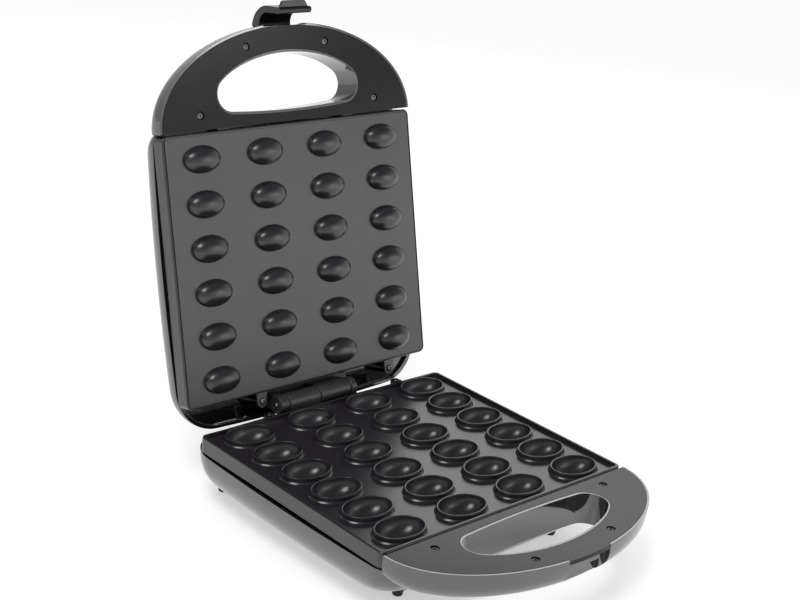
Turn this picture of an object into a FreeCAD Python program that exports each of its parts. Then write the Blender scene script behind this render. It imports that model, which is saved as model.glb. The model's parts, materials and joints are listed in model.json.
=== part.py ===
import FreeCAD, Part
import math
import os

# Electric nut cookie maker: two hinged shells with cast cooking plates, shown with the lid open.
# Origin: centre of the flat underside of the base shell. X runs along the hinge, the handles
# point to -Y, +Z is up. All lengths are in millimetres, all angles in degrees.
# Each half is drawn with its parting plane at z = 0 and its body towards -z. The base half is
# then lifted to the parting height. The lid half is mirrored, lifted and swung open.

V = FreeCAD.Vector

# Overall layout
BASE_DEPTH = 50.0
LID_DEPTH = 45.0
RIM_DROP = 14.0
PARTING_GAP = 1.2
OPEN_ANGLE = 104.0
HINGE_Y = 112.53
STOP_GAP = 0.3
SKIN = 2.5
FAR = 200.0

# Cooking plates
CUP_PITCH_X = 58.0
CUP_PITCH_Y = 33.0
CUP_COLUMNS = 4
CUP_ROWS = 6
PLATE_X = 239.4
PLATE_FRONT_Y = -101.9
PLATE_BACK_Y = 100.3
PLATE_CORNER_R = 5.0
PLATE_EDGE_R = 1.2
PLATE_SKIRT_H = 11.6
PLATE_WALL = 3.0
PLATE_GAP = 0.3
LIP_WIDTH = 2.6
FACE_DROP = 3.0
BEAD_WIDTH = 1.2
BEAD_GROOVE_W = 1.0
BEAD_GROOVE_DEPTH = 0.8
CUP_HALF_X = 18.9
CUP_HALF_Y = 13.1
CUP_DEPTH = 13.0
CUP_RIM_W = 1.4
CUP_RIM_R = 0.5
CUP_RIM_DRAFT = 0.4
CUP_FLARE = 0.9
CUP_FLOOR = 3.0
CUP_PAD_HALF_X = 13.0
CUP_PAD_HALF_Y = 9.0
DOME_HALF_X = 16.0
DOME_HALF_Y = 10.3
DOME_HEIGHT = 9.0
DOME_ROOT = 0.8
TAB_XS = (-49.0, 82.0)
TAB_WIDTH = 9.4
TAB_REACH = 12.4
TAB_THICK = 2.5
TAB_DROP = 3.6
TONGUE_X = 60.0
TONGUE_WIDTH = 12.0
TONGUE_REACH = 6.0
TONGUE_THICK = 2.5
TONGUE_DROP = 6.8

# Shell outline in plan
SHELL_HALF_X = 121.4
SHELL_BOW_X = 3.4
SHELL_FRONT_Y = -109.4
SHELL_BOW_FRONT = 4.0
SHELL_BOW_BACK = 3.0
RIM_FRONT_R = 14.0
FLOOR_FRONT_R = 42.0
BACK_CORNER_R = 35.0
RIM_STRAIGHT = 3.0
BASE_SIDE_ROLL = 36.0
BASE_FRONT_ROLL = 44.0
BASE_BACK_ROLL = 9.0
LID_SIDE_ROLL = 46.0
LID_FRONT_ROLL = 50.0
LID_BACK_ROLL = 24.0
DECK_Y = 97.0
DECK_DROP = 17.0
DECK_THICK = 2.5

# Handles, each a half oval with a finger hole
HANDLE_ROOT_Y = -103.2
HANDLE_HALF_X = 120.4
HANDLE_REACH = 73.7
HANDLE_TOP = 0.5
HANDLE_STRAIGHT = 6.5
HANDLE_ROLL_H = 20.0
HANDLE_ROLL_V = 17.5
HANDLE_BEAD = 1.8
COVER_THICK = 3.0
COVER_GAP = 0.3
COVER_SINK = 2.0
HOLE_BACK_Y = -112.2
HOLE_BOW = 4.2
HOLE_HALF_X = 75.0
HOLE_REACH = 38.6
HOLE_CORNER_R = 13.0
HOLE_BEAD = 2.0
BACK_WALL = 4.5
FRONT_SHELF = 1.0
COVER_SCREWS = ((-84.3, -114.0), (84.3, -114.0), (-37.9, -160.9), (37.9, -160.9))

# Screws, pan head on a plain shank
SCREW_HEAD_R = 2.7
SCREW_HEAD_H = 1.6
SCREW_SHANK_R = 1.3
SCREW_LENGTH = 9.0
STRAP_SCREW_LENGTH = 6.0
PAN_SCREW_LENGTH = 7.0
EAR_SCREW_LENGTH = 4.5
BLOCK_SCREW_LENGTH = 5.5
SCREW_PILOT_GAP = 0.05
SCREW_HEAD_GAP = 0.4
BOSS_R = 4.2

# Latch on the front of the lid, drawn in the frame of the closed lid
LATCH_PIVOT_Y = -168.0
LATCH_PIVOT_Z = 14.0
LATCH_HALF_X = 15.0
LATCH_SIDE_GAP = 0.6
LATCH_ROOT_R = 4.2
LATCH_CREST_Y = -177.2
LATCH_CREST_Z = 21.8
LATCH_FRONT_Y = -190.0
LATCH_TIP_Y = -188.0
LATCH_TIP_Z = -11.8
LATCH_ARM_THICK = 4.8
LATCH_INNER_Y = -175.9
LATCH_INNER_Z = 13.0
LATCH_BEAD_R = 2.5
LATCH_TAB_HALF_X = 14.0
LATCH_TAB_TIP_X = 10.5
LATCH_TAB_REACH = 6.4
LATCH_TAB_THICK = 2.0
LATCH_PIN_R = 1.5
LATCH_PIN_HALF = 20.0
RECESS_HALF_X = 20.5
RECESS_DEPTH = 2.0
SLOT_SILL = 6.0
SLOT_BACK_Y = -162.6
CATCH_FACE_Y = -171.2
CATCH_GROOVE_Y = -167.6
CATCH_LEDGE_DROP = 11.7
CATCH_GROOVE_H = 10.0
LATCH_BLOCK_HALF_X = 23.0
LATCH_BLOCK_BACK_Y = -158.0

# Hinge
PIN_R = 2.5
RUNNING_FIT = 0.05
PIN_OVERRUN = 1.5
BARREL_R = 7.5
BARREL_GAP = 0.6
BARREL_LENGTH = 31.0
LID_COLLAR_LENGTH = 8.0
BASE_COLLAR_LENGTH = 6.0
BARREL_EDGE = 0.8
BRACKET_HALF_X = 44.2
BRACKET_FRONT_Y = 98.6
BRACKET_BACK_Y = 116.0
BRACKET_FOOT_H = 3.0
BRACKET_SCREW_X = 40.0
BRACKET_SCREW_Y = 101.9

# Inside the shells
HEATER_R = 3.2
HEATER_END_Y = 84.0
HEATER_TURN_Y = 50.0
HEATER_PIN_R = 1.2
HEATER_PIN_LENGTH = 11.0
STRAP_Y = 33.0
STRAP_HALF_X = 96.0
STRAP_WIDTH = 11.0
STRAP_THICK = 1.2
POST_R = 3.6
REFLECTOR_THICK = 0.8
REFLECTOR_HALF_X = 98.0
REFLECTOR_FRONT_Y = -84.0
REFLECTOR_BACK_Y = 90.0
REFLECTOR_LIP_H = 4.0
REFLECTOR_CORNER_R = 12.0
BASE_REFLECTOR_DROP = 28.0
LID_REFLECTOR_DROP = 19.0
REFLECTOR_POST_X = 62.0
REFLECTOR_POST_Y = 56.0
WINDOW_HALF_X = 11.0
WINDOW_HALF_Y = 16.0
THERMOSTAT_R = 8.0
THERMOSTAT_H = 6.0
THERMOSTAT_EAR_Y = 11.5
THERMOSTAT_EAR_R = 3.6
THERMOSTAT_EAR_T = 1.0
TERMINAL_X = 4.0
TERMINAL_H = 4.0
FUSE_R = 2.2
FUSE_LENGTH = 16.0
FUSE_X = 44.0
FUSE_Y = 50.0
FUSE_DROP = 36.0
BLOCK_SIZE = (46.0, 18.0, 13.0)
BLOCK_PLACE = (12.0, 72.0)
BLOCK_DROP = 45.0
BLOCK_EAR_X = 9.0
BLOCK_EAR_H = 4.0
BLOCK_WELL_PITCH = 9.0
BLOCK_WELL_Y = 4.0
BLOCK_WELL_R = 2.2
BLOCK_WELL_DEPTH = 4.0
BLOCK_LEAD_H = 5.0
LEAD_R = 1.2
LEAD_GAP = 0.5
INLET_X = 66.0
INLET_DROP = 32.0
INLET_BORE_R = 3.8
INLET_NECK_R = 6.0
INLET_FLANGE_R = 8.5
INLET_FLANGE_W = 2.0
INLET_FACE_Y = 120.9
INLET_WALL_W = 3.0
INLET_SEAT_GAP = 0.3
LENS_X = 14.0
LENS_Y = -44.0
LENS_R = 4.0
LENS_FLANGE_R = 5.2
LENS_PROUD = 0.9
LENS_LENGTH = 5.0
LENS_SOCKET = 3.0
LAMP_R = 2.4
LAMP_LENGTH = 12.0

# Feet
FOOT_PLACES = ((-77.5, -77.5), (77.5, -77.5), (-90.0, 107.0), (90.0, 107.0))
FOOT_HEIGHT = 6.5
FOOT_TOP_R = 4.6
FOOT_TIP_R = 3.5
FOOT_RECESS = 3.0
FOOT_BOSS_R = 6.6
FOOT_BOSS_TOP_R = 10.0
FOOT_BOSS_H = 22.0

# Values that follow from the ones above
PARTING_Z = BASE_DEPTH
HINGE_RISE = PARTING_GAP / 2.0
CUP_RIM_RISE = PARTING_GAP
PLATE_HALF_X = PLATE_X / 2.0
AXIS_DROP = RIM_DROP + HINGE_RISE
STOP_RADIUS = AXIS_DROP / math.sin(math.radians(OPEN_ANGLE / 2.0))
STOP_ANGLE = math.radians(OPEN_ANGLE / 2.0) + STOP_GAP / STOP_RADIUS / 2.0
SHELL_BACK_Y = HINGE_Y + AXIS_DROP / math.tan(STOP_ANGLE)
HANDLE_DEPTH = HANDLE_TOP + HANDLE_STRAIGHT + HANDLE_ROLL_V
LEDGE_Z = -HANDLE_TOP - COVER_THICK
TAB_SCREW_Y = PLATE_BACK_Y + TAB_REACH - TAB_WIDTH / 2.0
CUP_BACK_Z = CUP_RIM_RISE - CUP_DEPTH - CUP_FLOOR
DOME_BACK_Z = -PLATE_GAP - PLATE_WALL
BASE_HEATER_Z = CUP_BACK_Z - HEATER_R
LID_HEATER_Z = DOME_BACK_Z - HEATER_R
HALF_PITCH = CUP_PITCH_X / 2.0
POST_XS = (-CUP_PITCH_X, 0.0, CUP_PITCH_X)
BASE_SPANS = (
    (-BARREL_LENGTH, -BARREL_GAP / 2.0),
    (BARREL_LENGTH + BARREL_GAP / 2.0, BARREL_LENGTH + BARREL_GAP / 2.0 + BASE_COLLAR_LENGTH),
)
LID_SPANS = (
    (BARREL_GAP / 2.0, BARREL_LENGTH - BARREL_GAP / 2.0),
    (-BARREL_LENGTH - BARREL_GAP - LID_COLLAR_LENGTH, -BARREL_LENGTH - BARREL_GAP),
)
ROLL_STEPS = (0.0, 22.0, 42.0, 60.0, 76.0, 90.0)
POST_PLACES = [(sx * REFLECTOR_POST_X, sy * REFLECTOR_POST_Y) for sx in (-1, 1) for sy in (-1, 1)]
STRAP_POSTS = [(x, sy * STRAP_Y) for x in POST_XS for sy in (-1, 1)]


def box(x0, x1, y0, y1, z0, z1):
    """Box between two corners."""
    return Part.makeBox(x1 - x0, y1 - y0, z1 - z0, V(x0, y0, z0))


def rod(radius, start, end):
    """Round rod between two points."""
    a = V(*start)
    b = V(*end)
    return Part.makeCylinder(radius, (b - a).Length, a, b - a)


def cone(r0, r1, start, end):
    """Round taper between two points."""
    a = V(*start)
    b = V(*end)
    return Part.makeCone(r0, r1, (b - a).Length, a, b - a)


def fuse(shapes):
    """One solid out of several that touch."""
    whole = shapes[0].multiFuse(shapes[1:]) if len(shapes) > 1 else shapes[0]
    return whole.removeSplitter()


def arc(a, b, c):
    """Edge through three points."""
    return Part.Arc(V(*a), V(*b), V(*c)).toShape()


def line(a, b):
    """Straight edge."""
    return Part.LineSegment(V(*a), V(*b)).toShape()


def prism(points, direction):
    """Straight prism on a flat polygon."""
    corners = [V(*p) for p in points]
    return Part.Face(Part.makePolygon(corners + corners[:1])).extrude(V(*direction))


def upright_edges(shape):
    """Straight edges that run along z."""
    return [e for e in shape.Edges if abs(e.tangentAt(e.FirstParameter).z) > 0.99]


def rounded_box(half_x, y0, y1, z0, z1, radius):
    """Box with round upright corners, centred on x = 0."""
    block = box(-half_x, half_x, y0, y1, z0, z1)
    return block.makeFillet(radius, upright_edges(block))


def oval(half_x, half_y, z, centre):
    """Ellipse wire, longer in x."""
    return Part.Wire(Part.Ellipse(V(centre[0], centre[1], z), half_x, half_y).toShape())


def oval_taper(bottom, top, z0, z1, centre):
    """Upright oval prism with draft; bottom and top are half axes."""
    return Part.makeLoft([oval(bottom[0], bottom[1], z0, centre), oval(top[0], top[1], z1, centre)], True, True)


def ellipsoid(half_x, half_y, half_z, centre):
    """Solid with three different half axes."""
    matrix = FreeCAD.Matrix()
    matrix.scale(half_x, half_y, half_z)
    matrix.move(V(*centre))
    return Part.makeSphere(1.0).transformGeometry(matrix)


def grid():
    """Centres of all cups, column by column."""
    xs = [(i - (CUP_COLUMNS - 1) / 2.0) * CUP_PITCH_X for i in range(CUP_COLUMNS)]
    ys = [(j - (CUP_ROWS - 1) / 2.0) * CUP_PITCH_Y for j in range(CUP_ROWS)]
    return [(x, y) for x in xs for y in ys]


def circle_meet(c0, r0, c1, r1, toward):
    """The common point of two circles that lies nearer to a given point."""
    dx = c1[0] - c0[0]
    dy = c1[1] - c0[1]
    gap = math.hypot(dx, dy)
    along = (r0 * r0 - r1 * r1 + gap * gap) / (2.0 * gap)
    across = math.sqrt(r0 * r0 - along * along)
    ux = dx / gap
    uy = dy / gap
    found = [(c0[0] + along * ux - s * across * uy, c0[1] + along * uy + s * across * ux) for s in (-1, 1)]
    return min(found, key=lambda p: math.hypot(p[0] - toward[0], p[1] - toward[1]))


def on_circle(centre, radius, toward):
    """Point of a circle in the direction of another point."""
    dx = toward[0] - centre[0]
    dy = toward[1] - centre[1]
    reach = math.hypot(dx, dy)
    return (centre[0] + radius * dx / reach, centre[1] + radius * dy / reach)


def bowed_outline(z, half_x, bow_x, front_y, back_y, front_r, back_r):
    """Closed outline of eight tangent arcs: four slightly bowed sides and four round corners."""
    mid_y = (front_y + back_y) / 2.0
    half_y = (back_y - front_y) / 2.0
    side_r = (half_y ** 2 + bow_x ** 2) / (2.0 * bow_x)
    front_big = (half_x ** 2 + SHELL_BOW_FRONT ** 2) / (2.0 * SHELL_BOW_FRONT)
    back_big = (half_x ** 2 + SHELL_BOW_BACK ** 2) / (2.0 * SHELL_BOW_BACK)
    side_c = (half_x - side_r, mid_y)
    front_c = (0.0, front_y + front_big)
    back_c = (0.0, back_y - back_big)
    front_k = circle_meet(side_c, side_r - front_r, front_c, front_big - front_r, (half_x, front_y))
    back_k = circle_meet(side_c, side_r - back_r, back_c, back_big - back_r, (half_x, back_y))
    a = on_circle(front_c, front_big, front_k)
    b = on_circle(side_c, side_r, front_k)
    c = on_circle(side_c, side_r, back_k)
    d = on_circle(back_c, back_big, back_k)
    ab = on_circle(front_k, front_r, ((a[0] + b[0]) / 2.0, (a[1] + b[1]) / 2.0))
    cd = on_circle(back_k, back_r, ((c[0] + d[0]) / 2.0, (c[1] + d[1]) / 2.0))
    right = [(a, ab, b), (b, (half_x, mid_y), c), (c, cd, d)]
    left = [tuple((-p[0], p[1]) for p in reversed(run)) for run in reversed(right)]
    back = [(d, (0.0, back_y), (-d[0], d[1]))]
    front = [((-a[0], a[1]), (0.0, front_y), a)]
    runs = right + back + left + front
    return Part.Wire([arc(*[(x, y, z) for x, y in run]) for run in runs])


def tub(depth, side_roll, front_roll, back_roll, inset, front_y, top):
    """Rounded tub: a short upright rim, then walls that roll under to a flat floor."""
    half_x = SHELL_HALF_X - inset
    back_y = SHELL_BACK_Y - inset
    start = -RIM_DROP - RIM_STRAIGHT
    fall = depth - inset + start
    wires = [bowed_outline(top, half_x, SHELL_BOW_X, front_y, back_y, RIM_FRONT_R, BACK_CORNER_R)]
    for degrees in ROLL_STEPS:
        turn = math.radians(degrees)
        roll = 1.0 - math.cos(turn)
        front_r = RIM_FRONT_R + (FLOOR_FRONT_R - RIM_FRONT_R) * roll
        wires.append(
            bowed_outline(
                start - fall * math.sin(turn),
                half_x - side_roll * roll,
                SHELL_BOW_X,
                front_y + front_roll * roll,
                back_y - back_roll * roll,
                front_r,
                BACK_CORNER_R,
            )
        )
    return Part.makeLoft(wires, True, False)


def half_oval(z, half_x, reach):
    """Closed half oval that bulges towards -y from the handle root."""
    ellipse = Part.Ellipse(V(0, HANDLE_ROOT_Y, z), half_x, reach)
    bulge = Part.ArcOfEllipse(ellipse, math.pi, 2.0 * math.pi).toShape()
    return Part.Wire([bulge, line((half_x, HANDLE_ROOT_Y, z), (-half_x, HANDLE_ROOT_Y, z))])


def handle_block(inset, top):
    """Half oval block whose outer edge rolls under to its flat lower face."""
    half_x = HANDLE_HALF_X - inset
    reach = HANDLE_REACH - inset
    start = -HANDLE_TOP - HANDLE_STRAIGHT
    wires = [half_oval(top, half_x, reach)]
    for degrees in ROLL_STEPS:
        turn = math.radians(degrees)
        roll = HANDLE_ROLL_H * (1.0 - math.cos(turn))
        fall = (HANDLE_ROLL_V - inset) * math.sin(turn)
        wires.append(half_oval(start - fall, half_x - roll, reach - roll))
    return Part.makeLoft(wires, True, False)


def half_oval_plate(inset, z0, z1):
    """Upright half oval plate."""
    wire = half_oval(z0, HANDLE_HALF_X - inset, HANDLE_REACH - inset)
    return Part.Face(wire).extrude(V(0, 0, z1 - z0))


def finger_hole(grow, z0, z1):
    """Upright prism of the finger hole: bowed back, oval front, two round corners."""
    half_x = HOLE_HALF_X + grow
    back_y = HOLE_BACK_Y + grow
    side_y = back_y - HOLE_BOW
    ellipse = Part.Ellipse(V(0, side_y, z0), half_x, HOLE_REACH + 2.0 * grow)
    bulge = Part.ArcOfEllipse(ellipse, math.pi, 2.0 * math.pi).toShape()
    outline = Part.Wire([bulge, arc((half_x, side_y, z0), (0.0, back_y, z0), (-half_x, side_y, z0))])
    block = Part.Face(outline).extrude(V(0, 0, z1 - z0))
    return block.makeFillet(HOLE_CORNER_R + grow, upright_edges(block))


def screw(x, y, seat_z, length, way=-1):
    """Pan head screw along z, with the underside of its head at seat_z."""
    tip = seat_z + way * length
    top = seat_z - way * SCREW_HEAD_H
    head = rod(SCREW_HEAD_R, (x, y, seat_z), (x, y, top))
    edge = [e for e in head.Edges if abs(e.BoundBox.ZMin - top) < 0.01 and abs(e.BoundBox.ZMax - top) < 0.01]
    return fuse([rod(SCREW_SHANK_R, (x, y, tip), (x, y, seat_z)), head.makeChamfer(SCREW_HEAD_H * 0.4, edge)])


def screws(places, seat_z, length, way=-1):
    """A set of equal screws, each its own solid."""
    return Part.makeCompound([screw(x, y, seat_z, length, way) for x, y in places])


def pilot(x, y, seat_z, length, way=-1):
    """Pilot hole of a screw, a little deeper than its tip."""
    return rod(SCREW_SHANK_R + SCREW_PILOT_GAP, (x, y, seat_z - way), (x, y, seat_z + way * (length + 1.0)))


def half_shell(shape, pan_drop, feet, added):
    """Hollow moulded half: tub, handle tray, hole wall, rear deck, bosses and plate seats."""
    depth = shape[0]
    outer = tub(*shape, 0.0, SHELL_FRONT_Y, -RIM_DROP)
    outer = outer.multiFuse([handle_block(0.0, -HANDLE_TOP)] + feet)
    inside = tub(*shape, SKIN, HANDLE_ROOT_Y + FRONT_SHELF, -RIM_DROP + 2.0)
    tray = handle_block(SKIN + HANDLE_BEAD, LEDGE_Z)
    wall = box(-HANDLE_HALF_X, HANDLE_HALF_X, HANDLE_ROOT_Y - BACK_WALL, HANDLE_ROOT_Y + 1.0, -HANDLE_DEPTH, 0.0)
    block = box(-LATCH_BLOCK_HALF_X, LATCH_BLOCK_HALF_X, -FAR, LATCH_BLOCK_BACK_Y, -HANDLE_DEPTH, 0.0)
    pillars = [rod(BOSS_R, (x, y, -HANDLE_DEPTH), (x, y, 0.0)) for x, y in COVER_SCREWS]
    tray = tray.cut([wall, finger_hole(SKIN, -HANDLE_DEPTH - 1.0, 1.0), block] + pillars)
    seat = half_oval_plate(HANDLE_BEAD, LEDGE_Z, 1.0).cut(finger_hole(HOLE_BEAD, LEDGE_Z - 1.0, 2.0))
    shell = outer.cut([inside, tray, seat]).cut(finger_hole(0.0, -depth, 1.0))
    deck = tub(*shape, SKIN / 2.0, SHELL_FRONT_Y, -RIM_DROP)
    deck = deck.common(box(-FAR, FAR, DECK_Y, FAR, -DECK_DROP - DECK_THICK, -DECK_DROP))
    tab_seat = -TAB_DROP - TAB_THICK
    bosses = [rod(BOSS_R, (x, TAB_SCREW_Y, -DECK_DROP - 1.0), (x, TAB_SCREW_Y, tab_seat)) for x in TAB_XS]
    for x in (-BRACKET_SCREW_X, BRACKET_SCREW_X):
        y = BRACKET_SCREW_Y
        bosses.append(rod(BOSS_R, (x, y, -DECK_DROP - 8.0), (x, y, -DECK_DROP - 0.5)))
    post_top = -pan_drop - REFLECTOR_THICK
    bosses += [cone(BOSS_R + 1.0, BOSS_R, (x, y, -depth + SKIN / 2.0), (x, y, post_top)) for x, y in POST_PLACES]
    shell = fuse([shell, deck] + bosses + added)
    cuts = [pilot(x, y, LEDGE_Z, SCREW_LENGTH) for x, y in COVER_SCREWS]
    cuts += [pilot(x, TAB_SCREW_Y, tab_seat, SCREW_LENGTH) for x in TAB_XS]
    cuts += [pilot(s * BRACKET_SCREW_X, BRACKET_SCREW_Y, -DECK_DROP, SCREW_LENGTH) for s in (-1, 1)]
    cuts += [pilot(x, y, post_top, PAN_SCREW_LENGTH) for x, y in POST_PLACES]
    slot_half = TONGUE_WIDTH / 2.0 + COVER_GAP
    slot_z = (-TONGUE_DROP - TONGUE_THICK - COVER_GAP, -TONGUE_DROP + COVER_GAP)
    slot_y = (HANDLE_ROOT_Y - BACK_WALL - 0.5, HANDLE_ROOT_Y + 0.5)
    for x in (-TONGUE_X, TONGUE_X):
        cuts.append(box(x - slot_half, x + slot_half, slot_y[0], slot_y[1], slot_z[0], slot_z[1]))
    return shell.cut(cuts)


def base_shell():
    """Lower half with the catch notch, the feet bosses, the cord inlet wall and block posts."""
    feet_bosses = []
    added = []
    low = -BASE_DEPTH + SKIN / 2.0
    for x, y in FOOT_PLACES:
        end = (x, y, -BASE_DEPTH + FOOT_BOSS_H)
        feet_bosses.append(cone(FOOT_BOSS_R, FOOT_BOSS_TOP_R, (x, y, -BASE_DEPTH), end))
        added.append(rod(FOOT_BOSS_R, (x, y, low), (x, y, -BASE_DEPTH + FOOT_RECESS + SKIN)))
    z = -INLET_DROP
    start = (INLET_X, INLET_FACE_Y - INLET_WALL_W, z)
    added.append(rod(INLET_FLANGE_R + 2.5, start, (INLET_X, INLET_FACE_Y, z)))
    for x, y in block_screw_places():
        added.append(rod(BOSS_R, (x, y, low), (x, y, -BLOCK_DROP)))
    shape = (BASE_DEPTH, BASE_SIDE_ROLL, BASE_FRONT_ROLL, BASE_BACK_ROLL)
    shell = half_shell(shape, BASE_REFLECTOR_DROP, feet_bosses, added)
    seat_r = INLET_FLANGE_R + INLET_SEAT_GAP
    inner = INLET_FACE_Y - INLET_WALL_W
    cuts = [rod(seat_r, (INLET_X, INLET_FACE_Y, z), (INLET_X, FAR, z))]
    cuts.append(rod(seat_r, (INLET_X, inner - 2.0 * INLET_FLANGE_W, z), (INLET_X, inner, z)))
    cuts.append(rod(INLET_NECK_R, (INLET_X, inner - 1.0, z), (INLET_X, FAR, z)))
    cuts += [pilot(x, y, -BLOCK_DROP, BLOCK_SCREW_LENGTH - BLOCK_EAR_H) for x, y in block_screw_places()]
    for x, y in FOOT_PLACES:
        cuts.append(rod(FOOT_TOP_R, (x, y, -BASE_DEPTH - 1.0), (x, y, -BASE_DEPTH + FOOT_RECESS)))
    cuts.append(box(-RECESS_HALF_X, RECESS_HALF_X, -FAR, CATCH_FACE_Y, -BASE_DEPTH, 1.0))
    groove_x = LATCH_HALF_X + 1.0
    groove_z = -CATCH_LEDGE_DROP - CATCH_GROOVE_H
    cuts.append(box(-groove_x, groove_x, -FAR, CATCH_GROOVE_Y, groove_z, -CATCH_LEDGE_DROP))
    return shell.cut(cuts)


def lid_shell():
    """Upper half with the latch slot, its cheeks and the holes of the indicator lenses."""
    shape = (LID_DEPTH, LID_SIDE_ROLL, LID_FRONT_ROLL, LID_BACK_ROLL)
    shell = half_shell(shape, LID_REFLECTOR_DROP, [], [])
    slot_x = LATCH_HALF_X + LATCH_SIDE_GAP
    front = HANDLE_ROOT_Y - HANDLE_REACH + RECESS_DEPTH
    pin_x = LATCH_BLOCK_HALF_X + 1.0
    cuts = [
        box(-slot_x, slot_x, -FAR, SLOT_BACK_Y, -LID_DEPTH, -SLOT_SILL),
        box(-RECESS_HALF_X, RECESS_HALF_X, -FAR, front, -LID_DEPTH, 1.0),
        rod(LATCH_PIN_R, (-pin_x, LATCH_PIVOT_Y, -LATCH_PIVOT_Z), (pin_x, LATCH_PIVOT_Y, -LATCH_PIVOT_Z)),
    ]
    for x in (-LENS_X, LENS_X):
        cuts.append(rod(LENS_R, (x, LENS_Y, -LID_DEPTH - 1.0), (x, LENS_Y, -LID_DEPTH + SKIN + 1.0)))
    return shell.cut(cuts)


def handle_cover(lip):
    """Cover plate of a handle with sunk screw seats; lip carries it out over the catch notch."""
    plate = half_oval_plate(HANDLE_BEAD + COVER_GAP, LEDGE_Z, -HANDLE_TOP)
    if lip:
        full = half_oval_plate(0.0, LEDGE_Z, -HANDLE_TOP)
        half = RECESS_HALF_X - COVER_GAP
        plate = fuse([plate, full.common(box(-half, half, -FAR, CATCH_GROOVE_Y, -10.0, 10.0))])
    plate = plate.cut(finger_hole(HOLE_BEAD + COVER_GAP, LEDGE_Z - 1.0, 1.0))
    cuts = [pilot(x, y, LEDGE_Z + 1.0, SCREW_LENGTH) for x, y in COVER_SCREWS]
    seat_r = SCREW_HEAD_R + SCREW_HEAD_GAP
    cuts += [rod(seat_r, (x, y, -HANDLE_TOP - COVER_SINK), (x, y, 1.0)) for x, y in COVER_SCREWS]
    return plate.cut(cuts)


def plate_inset(inset, z0, z1):
    """Block with the outline of a plate, drawn in by a given width."""
    front = PLATE_FRONT_Y + inset
    back = PLATE_BACK_Y - inset
    return rounded_box(PLATE_HALF_X - inset, front, back, z0, z1, PLATE_CORNER_R - inset)


def plate_blank(top, pocket_top):
    """Cast plate with a skirt all round, two rear tabs and two front tongues."""
    front = PLATE_FRONT_Y
    back = PLATE_BACK_Y
    blank = rounded_box(PLATE_HALF_X, front, back, -PLATE_SKIRT_H, top, PLATE_CORNER_R)
    rim = [e for e in blank.Edges if e.BoundBox.ZMin > top - 0.1]
    blank = blank.makeFillet(PLATE_EDGE_R, rim)
    blank = blank.cut(plate_inset(PLATE_WALL, -PLATE_SKIRT_H - 1.0, pocket_top))
    tab_z = -TAB_DROP - TAB_THICK
    parts = [blank]
    cuts = []
    for x in TAB_XS:
        half = TAB_WIDTH / 2.0
        parts.append(box(x - half, x + half, back - 1.0, TAB_SCREW_Y, tab_z, tab_z + TAB_THICK))
        parts.append(rod(half, (x, TAB_SCREW_Y, tab_z), (x, TAB_SCREW_Y, tab_z + TAB_THICK)))
        cuts.append(pilot(x, TAB_SCREW_Y, tab_z + TAB_THICK, TAB_THICK))
    for x in (-TONGUE_X, TONGUE_X):
        half = TONGUE_WIDTH / 2.0
        low = -TONGUE_DROP - TONGUE_THICK
        parts.append(box(x - half, x + half, front - TONGUE_REACH, front + 1.0, low, -TONGUE_DROP))
    return fuse(parts).cut(cuts)


def plate_posts(back_z, end_z):
    """Posts under a plate that hold the heater straps."""
    return [rod(POST_R, (x, y, end_z), (x, y, back_z + 1.0)) for x, y in STRAP_POSTS]


def thermostat_pad(back_z, end_z):
    """Pad under the middle of a plate that the thermostat is screwed to."""
    pad = [rod(THERMOSTAT_R - 1.0, (0.0, 0.0, end_z), (0.0, 0.0, back_z + 1.0))]
    for side in (-1, 1):
        y = side * THERMOSTAT_EAR_Y
        pad.append(rod(THERMOSTAT_EAR_R, (0.0, y, end_z), (0.0, y, back_z + 1.0)))
    half = THERMOSTAT_EAR_R
    pad.append(box(-half, half, -THERMOSTAT_EAR_Y, THERMOSTAT_EAR_Y, end_z, back_z + 1.0))
    return pad


def plate_pilots(post_z, pad_z):
    """Pilot holes in the posts and the pad of a plate, open towards -z."""
    holes = [pilot(x, y, post_z, STRAP_SCREW_LENGTH - STRAP_THICK, 1) for x, y in STRAP_POSTS]
    depth = EAR_SCREW_LENGTH - THERMOSTAT_EAR_T
    holes += [pilot(0.0, side * THERMOSTAT_EAR_Y, pad_z, depth, 1) for side in (-1, 1)]
    return holes


def cup():
    """One finished cup: flared foot, raised rim with a round crest, bowl, and a flat pad below."""
    middle = (0.0, 0.0)
    face = -FACE_DROP
    crest = CUP_RIM_RISE
    wide = (CUP_HALF_X + CUP_RIM_W, CUP_HALF_Y + CUP_RIM_W)
    low = (wide[0] + CUP_RIM_DRAFT, wide[1] + CUP_RIM_DRAFT)
    flare = (low[0] + 2.0 * CUP_FLARE, low[1] + 2.0 * CUP_FLARE)
    rim = oval_taper(low, wide, face - CUP_FLARE, crest, middle)
    foot = oval_taper(flare, low, face - CUP_FLARE, face + CUP_FLARE, middle)
    outer = (CUP_HALF_X + CUP_FLOOR, CUP_HALF_Y + CUP_FLOOR, CUP_DEPTH + CUP_FLOOR - 1.0)
    bowl = ellipsoid(*outer, (0.0, 0.0, crest))
    bowl = bowl.common(box(-FAR, FAR, -FAR, FAR, -FAR, face - CUP_FLARE))
    pad = (CUP_PAD_HALF_X, CUP_PAD_HALF_Y)
    block = fuse([rim, foot, bowl, oval_taper(pad, pad, CUP_BACK_Z, face - 2.0, middle)])
    block = block.cut(ellipsoid(CUP_HALF_X, CUP_HALF_Y, CUP_DEPTH, (0.0, 0.0, crest)))
    return block.makeFillet(CUP_RIM_R, [e for e in block.Edges if e.BoundBox.ZMin > crest - 0.01])


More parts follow.
